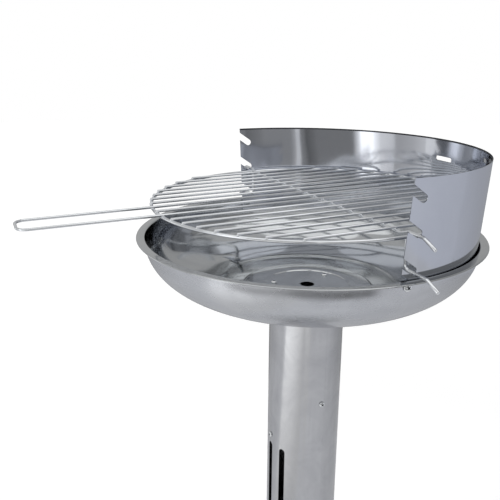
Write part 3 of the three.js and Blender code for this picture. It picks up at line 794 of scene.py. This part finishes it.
stay_line = [Vector((stay_x, bar_y, ring_height)), Vector((stay_x, bar_y, stay_height)),
             Vector((stay_bend, bar_y, stay_height)), Vector((stay_bend, bar_y, stay_height)) + ear_end]
for word, side in (("right", 1), ("left", -1)):
    stay = wire([mirrored(p, side) for p in stay_line], frame_wire, stay_bend_radius)
    grid_piece(f"chromed_stay_{word}", stay, f"grid_stay_{word}")

# %% [markdown]
# Where two wires cross, a resistance weld has squeezed a small bead of metal out between them.
# Each bead is a squashed ball that sits in the crossing, under the plating. They are one piece,
# because each is too small to be handled by itself.

# %% Weld beads
BEAD = Vector((2.1, 2.7, 1.3)) * mm
beads = bmesh.new()


def add_bead(x, y, z, size):
    shape = Matrix.Translation((x, y, z)) @ Matrix.Diagonal((*size, 1))
    bmesh.ops.create_icosphere(beads, subdivisions=2, radius=1, matrix=shape)


weld_height = ring_height + frame_wire
for x in wire_spots + [-leg_x, leg_x]:
    for side in (-1, 1):
        add_bead(x, side * (wire_end(x) - wire_overhang), weld_height, BEAD)
    add_bead(x, bar_y, weld_height, BEAD.yxz)
for side in (-1, 1):
    add_bead(side * ring_radius, bar_y, weld_height, BEAD.yxz)
    add_bead(side * (ring_radius - frame_wire), bar_y, ring_height, BEAD.zyx)
grid_piece("chromed_weld_beads", beads)

# %% [markdown]
# The screws are pan heads with a cross recess. The head and shank are one spun outline, with the
# thread as fine rings. A real thread is a helix, but at this size nobody sees that its turns are
# closed, and rings can be spun.

# %% Screws
SIZES = {
    "M5": {"pitch": 0.8 * mm, "shank": 2.5 * mm, "head": 4.75 * mm, "high": 3 * mm,
           "nut": 4.6 * mm, "nut_high": 3.5 * mm},
    "M4": {"pitch": 0.7 * mm, "shank": 2 * mm, "head": 4 * mm, "high": 2.6 * mm,
           "nut": 3.9 * mm, "nut_high": 3 * mm},
}
ROUND_STEPS = 32
CROWN_STEPS = 8
# Shares of the head's radius and height: its broken edge, its upright rim and its flat crown
EDGE_SHARES = (0.96, 0.12)
RIM_SHARE = 0.3
CROWN_SHARE = 0.25


def screw(size, length):
    """Stands along Z, with the underside of its head at zero."""
    s = SIZES[size]
    root = s["shank"] - s["pitch"] / 2
    outline = [(0, -length), (root, -length)]
    for k in range(int(length / s["pitch"])):
        low = -length + s["pitch"] * k
        outline += [(s["shank"], low + s["pitch"] / 2), (root, low + s["pitch"])]
    rim = s["high"] * RIM_SHARE
    outline += [(root, 0), (s["head"] * EDGE_SHARES[0], 0), (s["head"], s["high"] * EDGE_SHARES[1]),
                (s["head"], rim)]
    for k in range(1, CROWN_STEPS):
        turn = math.pi / 2 * k / CROWN_STEPS
        outline.append((s["head"] * (CROWN_SHARE + (1 - CROWN_SHARE) * math.cos(turn)),
                        rim + (s["high"] - rim) * math.sin(turn)))
    outline.append((0, s["high"]))
    return spun([Vector((r, 0, z)) for r, z in outline], steps=ROUND_STEPS, closed=False)


print("screw sizes:", ", ".join(SIZES))

# %% [markdown]
# The cross is struck by a tapered punch, so its walls lean and its floor is smaller than its
# mouth. Two tapered blades are cut out of the spun head, one across the other. Its faces are told
# from the head's by their place and slope, and get the dark finish as painted shade in the recess.

# %% Cross in the head
# Shares of the head: the cross's reach, width and floor, and how far it tapers to that floor
RECESS_REACH, RECESS_WIDTH, RECESS_FLOOR = 0.6, 0.34, 0.4
REACH_TAPER, WIDTH_TAPER = 0.55, 0.7
RECESS_OVERRUN = 1.3
# What tells its faces from the head's: a hair's share of a length, and how steep its walls are
HAIR = 0.01
STEEP = 0.5


def recess_wings(size):
    """The two tapered blades of the cross that is pressed into the head."""
    s = SIZES[size]
    blades = []
    for degrees in (45, 135):
        blade = bmesh.new()
        bmesh.ops.create_cube(blade, size=1)
        for vert in blade.verts:
            deep = vert.co.z < 0
            vert.co.x *= s["head"] * 2 * RECESS_REACH * (REACH_TAPER if deep else 1)
            vert.co.y *= s["head"] * RECESS_WIDTH * (WIDTH_TAPER if deep else 1)
            vert.co.z = s["high"] * (RECESS_FLOOR if deep else RECESS_OVERRUN)
        blades.append(placed(blade, turned_about("Z", degrees)))
    return blades


def paint_recess_shade(made, size):
    """Paints the walls and the floor of the cross with the dark finish, as painted shade in the recess."""
    made.data.materials.append(sheared_edge_and_painted_shade)
    reach = SIZES[size]["head"] * RECESS_REACH * (1 + HAIR)
    floor_height = SIZES[size]["high"] * RECESS_FLOOR
    for face in made.data.polygons:
        x, y, z = face.center
        inside = math.hypot(x, y) < reach and z > floor_height * (1 - HAIR)
        on_wall = face.normal.z < STEEP
        on_its_floor = z < floor_height * (1 + HAIR)
        face.material_index = int(inside and (on_wall or on_its_floor))


# %% [markdown]
# A nut is cut off a hexagonal bar, bored, and its corners are turned off by a shallow cone on both
# faces, which leaves curved edges on the flats. A ring of points is laid at each edge and each ring
# is bridged to the next, which gives cleaner faces than cutting a hexagon with cones.

# %% Nuts
NUT_STEPS = 24
FACE_SHARE = 0.96
BORE_SHARE = 1.1
CHAMFER = math.radians(30)


def nut(size):
    """A hexagon under the origin: bored, with its corners turned off."""
    s = SIZES[size]
    flat = s["nut"] * math.cos(math.pi / 6)
    turned = flat * FACE_SHARE
    bore = s["shank"] * BORE_SHARE
    high = s["nut_high"]
    mesh_edit = bmesh.new()
    rings = []
    for radius, height, slope in ((bore, 0, 0), (turned, 0, 0), (flat, 0, -1), (flat, -high, 1),
                                  (turned, -high, 0), (bore, -high, 0)):
        circle = bmesh.ops.create_circle(mesh_edit, segments=NUT_STEPS, radius=radius)["verts"]
        for vert in circle:
            bearing = math.atan2(vert.co.y, vert.co.x) % (math.pi / 3) - math.pi / 6
            wide = flat / math.cos(bearing) if slope else radius
            vert.co *= wide / radius
            vert.co.z = height + slope * (wide - turned) * math.tan(CHAMFER)
        rings.append(list({e for v in circle for e in v.link_edges}))
    for one, other in zip(rings, rings[1:] + rings[:1]):
        bmesh.ops.bridge_loops(mesh_edit, edges=one + other)
    return mesh_edit


# %% [markdown]
# A fastener is drawn upright at the origin and then seated where the frame has it: a screw from
# the outside, with its crown as high as the frame's, and its nut from the inside.

# %% Seating the fasteners
def fastener(name, size, length, *matrices):
    """A screw whose head is seated by the matrices, in place of the frame's plainer one."""
    made = piece_from(f"pan_head_{name}", screw(size, length), zinc_plated)
    cut_with(made, recess_wings(size))
    # The cross in the head is painted dark as shade
    paint_recess_shade(made, size)
    for matrix in matrices:
        made.data.transform(matrix)
    return finish_piece(made, "root", "plated_screw", name)


def hex_nut(name, size, *matrices):
    made = piece_from(f"hexagon_{name}", placed(nut(size), *matrices), zinc_plated)
    return finish_piece(made, "root", "plated_screw", name)


def radial_span(node, degrees):
    """How near and how far a node lies along a level direction from the axis."""
    out = Vector((math.cos(math.radians(degrees)), math.sin(math.radians(degrees)), 0))
    reach = [v.co.dot(out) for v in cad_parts[node].data.vertices]
    return min(reach), max(reach)


def side_pair(name, size, degrees, height):
    """A screw from outside and its nut from inside, seated where the frame has them."""
    tail, crown = radial_span(f"{name}_screw", degrees)
    seat = crown - SIZES[size]["high"]
    fastener(f"{name}_screw", size, seat - tail, Matrix.Translation((0, 0, seat)),
             outwards(degrees, height))
    face = radial_span(f"{name}_nut", degrees)[1]
    hex_nut(f"{name}_nut", size, Matrix.Translation((0, 0, face)), outwards(degrees, height))


def height_of(node):
    low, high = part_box(node)
    return (low.z + high.z) / 2


for name in ("seam_upper", "seam_lower"):
    side_pair(name, "M4", 0, height_of(f"{name}_screw"))
side_pair("column_front", "M4", -90, height_of("column_front_screw"))
for number, degrees in enumerate(foot_angles, 1):
    side_pair(f"foot_{number}", "M5", degrees, height_of(f"foot_{number}_screw"))
for word, degrees in (("right", 0), ("rear", 90), ("left", 180)):
    side_pair(f"shield_{word}", "M5", degrees, height_of(f"shield_{word}_screw"))

# %% [markdown]
# The bowl's screws go down through the bowl and the column's tabs, and have their nuts below. The
# socket's screws are tapped into the floor plate and have none.

# %% Screws that stand upright
bowl_screw_circle = 45 * mm
for number, degrees in enumerate((0, 120, 240), 1):
    low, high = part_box(f"bowl_screw_{number}")
    seat = high.z - SIZES["M4"]["high"]
    across = Matrix.Translation((bowl_screw_circle, 0, 0))
    fastener(f"bowl_screw_{number}", "M4", seat - low.z, Matrix.Translation((0, 0, seat)), across,
             turned_about("Z", degrees))
    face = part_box(f"bowl_nut_{number}")[1].z
    hex_nut(f"bowl_nut_{number}", "M4", Matrix.Translation((0, 0, face)), across,
            turned_about("Z", degrees))
for number, degrees in enumerate(foot_angles, 1):
    low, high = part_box(f"socket_screw_{number}")
    seat = high.z - SIZES["M5"]["high"]
    fastener(f"socket_screw_{number}", "M5", seat - low.z, Matrix.Translation((0, 0, seat)),
             Matrix.Translation((socket_screw_circle, 0, 0)), turned_about("Z", degrees))

# %% [markdown]
# The room is plain and white: a pale floor, a white sky and two large soft lamps. To show as
# white the floor glows a little, but only to the camera and in reflections, so that the glow adds
# no light to the grill. Near the grill it glows less, which keeps the soft shadow there.

# %% Floor
def shown_rays(tree):
    """Is 1 for what the camera sees, directly or in metal or through glass, and else 0."""
    rays = add_node(tree, "ShaderNodeLightPath")
    seen = add_node(tree, "ShaderNodeMath", {"operation": "MAXIMUM"}, {
        0: rays.outputs["Is Camera Ray"], 1: rays.outputs["Is Glossy Ray"]})
    return add_node(tree, "ShaderNodeMath", {"operation": "MAXIMUM"}, {
        0: seen.outputs[0], 1: rays.outputs["Is Transmission Ray"]}).outputs[0]


FLOOR_RADIUS = 9
SPREAD_FROM, SPREAD_TO = 1, 3
NEAR_GLOW, FAR_GLOW = 0.46, 0.64


def pale_floor():
    """A matt floor that shows as white. It glows least near the grill, where its shadow falls."""
    material, output = empty_material("pale_studio_floor")
    tree = material.node_tree
    place = add_node(tree, "ShaderNodeTexCoord").outputs["Object"]
    reach = add_node(tree, "ShaderNodeVectorMath", {"operation": "LENGTH"}, {0: place})
    glow = add_node(tree, "ShaderNodeMapRange", inputs={
        "Value": reach.outputs["Value"], "From Min": SPREAD_FROM, "From Max": SPREAD_TO,
        "To Min": NEAR_GLOW, "To Max": FAR_GLOW})
    shown = add_node(tree, "ShaderNodeMath", {"operation": "MULTIPLY"}, {
        0: shown_rays(tree), 1: glow.outputs[0]})
    shader = add_node(tree, "ShaderNodeBsdfPrincipled", inputs={
        "Base Color": linear("#dcdcdc"), "Roughness": 0.9, "Emission Color": (1, 1, 1, 1),
        "Emission Strength": shown.outputs[0]})
    tree.links.new(shader.outputs[0], output.inputs["Surface"])
    return material


floor_edit = bmesh.new()
bmesh.ops.create_circle(floor_edit, cap_ends=True, segments=64, radius=FLOOR_RADIUS)
floor = piece_from("plain_floor", floor_edit, pale_floor())
print("floor:", floor.name, "radius", FLOOR_RADIUS)

# %% [markdown]
# The sky shows as white but lights the grill only by half. Two large round lamps add the light that
# models the dull parts. Metal mirrors neither lamp, because cards give it all that it mirrors.

# %% Sky and lamps
world = bpy.data.worlds.new("white_studio")
scene.world = world
world.use_nodes = True
tree = world.node_tree
tree.nodes.clear()
SKY_LIGHT = 0.5
strength = add_node(tree, "ShaderNodeMapRange", inputs={
    "Value": shown_rays(tree), "To Min": SKY_LIGHT, "To Max": 1})
sky = add_node(tree, "ShaderNodeBackground", inputs={
    "Color": (1, 1, 1, 1), "Strength": strength.outputs[0]})
add_node(tree, "ShaderNodeOutputWorld", inputs={"Surface": sky.outputs[0]})


def lamp(name, place, aim, size, power):
    """A round soft lamp, which metal doesn't mirror."""
    data = bpy.data.lights.new(name, "AREA")
    data.shape, data.size, data.energy = "DISK", size, power
    made = bpy.data.objects.new(name, data)
    made.location = place
    made.rotation_euler = (Vector(aim) - Vector(place)).to_track_quat("-Z", "Y").to_euler()
    made.visible_glossy = False
    scene.collection.objects.link(made)


TARGET = (0, 0, 0.7)
lamp("key_lamp", (-0.6, -1.6, 2.6), TARGET, 1.2, 26)
lamp("fill_lamp", (1.8, 0.8, 2.2), TARGET, 1.6, 12)
scene.view_settings.view_transform = "Standard"

# %% [markdown]
# Bright metal shows only what stands round it, so a photographer sets a grey tent round it, with
# white and dark cards inside. Here only reflections see the tent, its floor and its cards. A card
# is placed by the bearing of its edges, in degrees to the right of the camera's, because that is
# how the upright strips in the shield's reflection are read from left to right.

# %% Helpers for the tent
CAMERA_BEARING = math.degrees(math.atan2(RIM_TO_CAMERA.y, RIM_TO_CAMERA.x))
TOWARDS_CAMERA = Vector((RIM_TO_CAMERA.x, RIM_TO_CAMERA.y, 0)).normalized()
TO_THE_RIGHT = Vector((-TOWARDS_CAMERA.y, TOWARDS_CAMERA.x, 0))
CARD_DISTANCE = 2.4
TENT_LIGHT = 0.72


def only_in_metal(made):
    """Stages a piece that only reflections see."""
    made.visible_camera = made.visible_diffuse = made.visible_shadow = False
    return made


def bearing_way(bearing):
    """The level direction at a bearing."""
    angle = math.radians(CAMERA_BEARING + bearing)
    return Vector((math.cos(angle), math.sin(angle), 0))


def shaded_glow(name, glow, slope=(0, 0, 0), colour="#ffffff", mottle=0, patches=4, lowest=0, highest=9):
    """Cloth that glows. The glow is that at the axis and changes by the slope in each metre, within
    its limits. It may be mottled by a share, with so many patches to a metre."""
    material, output = empty_material(name)
    tree = material.node_tree
    place = add_node(tree, "ShaderNodeTexCoord").outputs["Object"]
    lean = add_node(tree, "ShaderNodeVectorMath", {"operation": "DOT_PRODUCT"}, {0: place, 1: slope})
    total = add_node(tree, "ShaderNodeMath", {"operation": "ADD"}, {0: lean.outputs["Value"], 1: glow})
    held = add_node(tree, "ShaderNodeClamp", inputs={
        "Value": total.outputs[0], "Min": lowest, "Max": highest})
    clouds = add_node(tree, "ShaderNodeTexNoise", inputs={"Vector": place, "Scale": patches, "Detail": 1})
    patchy = add_node(tree, "ShaderNodeMapRange", inputs={
        "Value": clouds.outputs["Fac"], "From Min": 0.3, "From Max": 0.7,
        "To Min": 1 - mottle, "To Max": 1 + mottle})
    uneven = add_node(tree, "ShaderNodeMath", {"operation": "MULTIPLY"}, {
        0: held.outputs[0], 1: patchy.outputs[0]})
    strength = add_node(tree, "ShaderNodeMath", {"operation": "MULTIPLY"}, {
        0: uneven.outputs[0], 1: TENT_LIGHT})
    shader = add_node(tree, "ShaderNodeEmission", inputs={
        "Color": linear(colour), "Strength": strength.outputs[0]})
    tree.links.new(shader.outputs[0], output.inputs["Surface"])
    return material


def card(name, left, right, glow, fade=0, low=0.05, high=1.25, distance=CARD_DISTANCE,
         colour="#ffffff", mottle=0, patches=4):
    """A standing card between two bearings. Its glow changes by the fade from left to right."""
    bearing = (left + right) / 2
    width = 2 * distance * math.tan(math.radians(right - left) / 2)
    slope = bearing_way(bearing + 90) * (fade / width)
    mesh_edit = bmesh.new()
    bmesh.ops.create_grid(mesh_edit, x_segments=1, y_segments=1, size=0.5)
    placed(mesh_edit, Matrix.Diagonal((width, high - low, 1, 1)), turned_about("X", 90),
           turned_about("Z", CAMERA_BEARING + bearing + 90),
           Matrix.Translation(bearing_way(bearing) * distance + Vector((0, 0, (low + high) / 2))))
    return only_in_metal(piece_from(name, mesh_edit, shaded_glow(
        name, glow + fade / 2, slope, colour, mottle, patches)))


print("cards stand", CARD_DISTANCE, "m from the axis, unless their own line says otherwise")

# %% [markdown]
# The tent is a grey ball round everything, lighter towards the camera and darker behind the grill.
# Its floor is a second disc just above the real one, because the floor that metal mirrors has to
# be greyer than the floor that the camera sees.

# %% Tent and its floor
TENT_RADIUS = 5
CLOTH_HEIGHT = 2 * mm
BOARD_HEIGHT = 6 * mm
tent_edit = bmesh.new()
bmesh.ops.create_uvsphere(tent_edit, u_segments=48, v_segments=24, radius=TENT_RADIUS)
only_in_metal(piece_from("grey_tent", tent_edit, shaded_glow(
    "grey_tent_cloth", 0.82, TOWARDS_CAMERA * (0.2 / TENT_RADIUS), lowest=0.6, highest=1.2)))

# The floor as metal sees it: light in front of the grill and greyer behind it
cloth_edit = bmesh.new()
bmesh.ops.create_circle(cloth_edit, cap_ends=True, segments=64, radius=TENT_RADIUS,
                        matrix=Matrix.Translation((0, 0, CLOTH_HEIGHT)))
only_in_metal(piece_from("floor_in_reflections", cloth_edit, shaded_glow(
    "grey_floor_cloth", 0.9, TOWARDS_CAMERA * 0.27 - TO_THE_RIGHT * 0.05, colour="#fbfcff",
    mottle=0.08, lowest=0.55, highest=0.99)))

# A white board on the floor to the left, whose far edge cuts the column's reflection at a slant.
# Its corners are given in metres towards the camera, and to the right of the axis.
board_edit = bmesh.new()
board_edit.faces.new([
    board_edit.verts.new(TOWARDS_CAMERA * front + TO_THE_RIGHT * side + Vector((0, 0, BOARD_HEIGHT)))
    for front, side in ((-0.19, -0.3), (0.405, -1.001), (1.1, -1.7), (2.4, -1.7), (2.4, 0), (0.6, -0.1))])
board = only_in_metal(piece_from("white_board_low_left", board_edit, shaded_glow(
    "white_board", 0.5, TOWARDS_CAMERA * 0.3 - TO_THE_RIGHT * 1.1, lowest=0.95, highest=2.2)))
print("on the floor of the tent:", board.name)

# %% [markdown]
# The cards were matched to the photograph one by one. Each upright strip in the shield's
# reflection is a card of about that brightness at that bearing, and the rest serve its outside,
# the column and the bowl.

# %% Cards
# Strips round the camera, which the inside of the shield mirrors side by side
card("card_dim_right", left=36, right=61, glow=0.42, fade=-0.2)
card("card_grey_right", left=12, right=36, glow=0.46)
card("card_slit_side", left=8.4, right=12, glow=0.75, fade=-0.25)
card("card_bright_slit", left=4.8, right=8.4, glow=1.1)
card("card_slit_shade", left=0, right=4.8, glow=0.3, fade=0.15)
card("card_dark_middle", left=-9, right=0, glow=0.34, fade=-0.14)
card("card_dark_left", left=-37, right=-9, glow=0.36)
card("card_white_edge", left=-43, right=-37, glow=1.9, fade=-1.4, low=0.3)
card("card_white_left", left=-56, right=-43, glow=2.7, low=0.5)
card("card_white_side", left=-61, right=-56, glow=1.5, fade=0.8, low=0.4)
card("card_light_side", left=-71, right=-61, glow=1.2, fade=0.2)
card("card_grey_left", left=-86, right=-71, glow=0.86, fade=-0.16)
card("card_pale_left", left=-98, right=-86, glow=1.1, fade=-0.22)
card("card_light_left", left=-114, right=-98, glow=1.4)
# Two broad cool cards to the right, low down, which the outside of the shield mirrors
card("card_cool_right", left=58, right=104, glow=1.14, fade=-0.17, low=0.02, high=0.6, distance=1.7,
     colour="#eff2fb")
card("card_grey_right_rear", left=100, right=162, glow=0.97, fade=-0.55, low=0.02, high=0.6, distance=1.7,
     colour="#eff2fb")
# Two high cards, dark to the right and grey behind, and a dark one close behind the column
card("card_dark_right_high", left=50, right=132, glow=0.42, low=1, high=2.4, distance=1.9)
card("card_grey_behind", left=125, right=235, glow=0.46, fade=0.4, low=0.9, high=2.1)
card("card_dark_behind", left=149, right=212, glow=0.34, low=0.25, high=0.6, distance=0.5)
# Two narrow dark cards close in front, for the outside of the bowl's upper wall
card("card_dark_low_right", left=-6, right=36, glow=0.24, low=0.49, high=0.62, distance=0.45,
     mottle=0.6, patches=16)
card("card_dark_low_left", left=-42, right=-6, glow=0.5, low=0.51, high=0.62, distance=0.45,
     mottle=0.6, patches=16)

# %% [markdown]
# Three large white cloths high up give the bowl's inside its broad pale patches.

# %% Soft boxes
def soft_box(name, bearing, rise, glow, size, distance=2.6):
    """A round white cloth that hangs high up and faces the grill."""
    way = bearing_way(bearing) * math.cos(math.radians(rise)) + Vector((0, 0, math.sin(math.radians(rise))))
    mesh_edit = bmesh.new()
    bmesh.ops.create_circle(mesh_edit, cap_ends=True, segments=32, radius=size,
                            matrix=Matrix.Translation(Vector((0, 0, rim_height)) + way * distance)
                            @ way.to_track_quat("Z", "Y").to_matrix().to_4x4())
    return only_in_metal(piece_from(name, mesh_edit, shaded_glow(name, glow)))


soft_box("soft_box_left", bearing=-70, rise=55, glow=1.6, size=0.9)
soft_box("soft_box_right", bearing=62, rise=62, glow=1.8, size=0.8)
soft_box("soft_box_above", bearing=0, rise=90, glow=1.6, size=0.95)
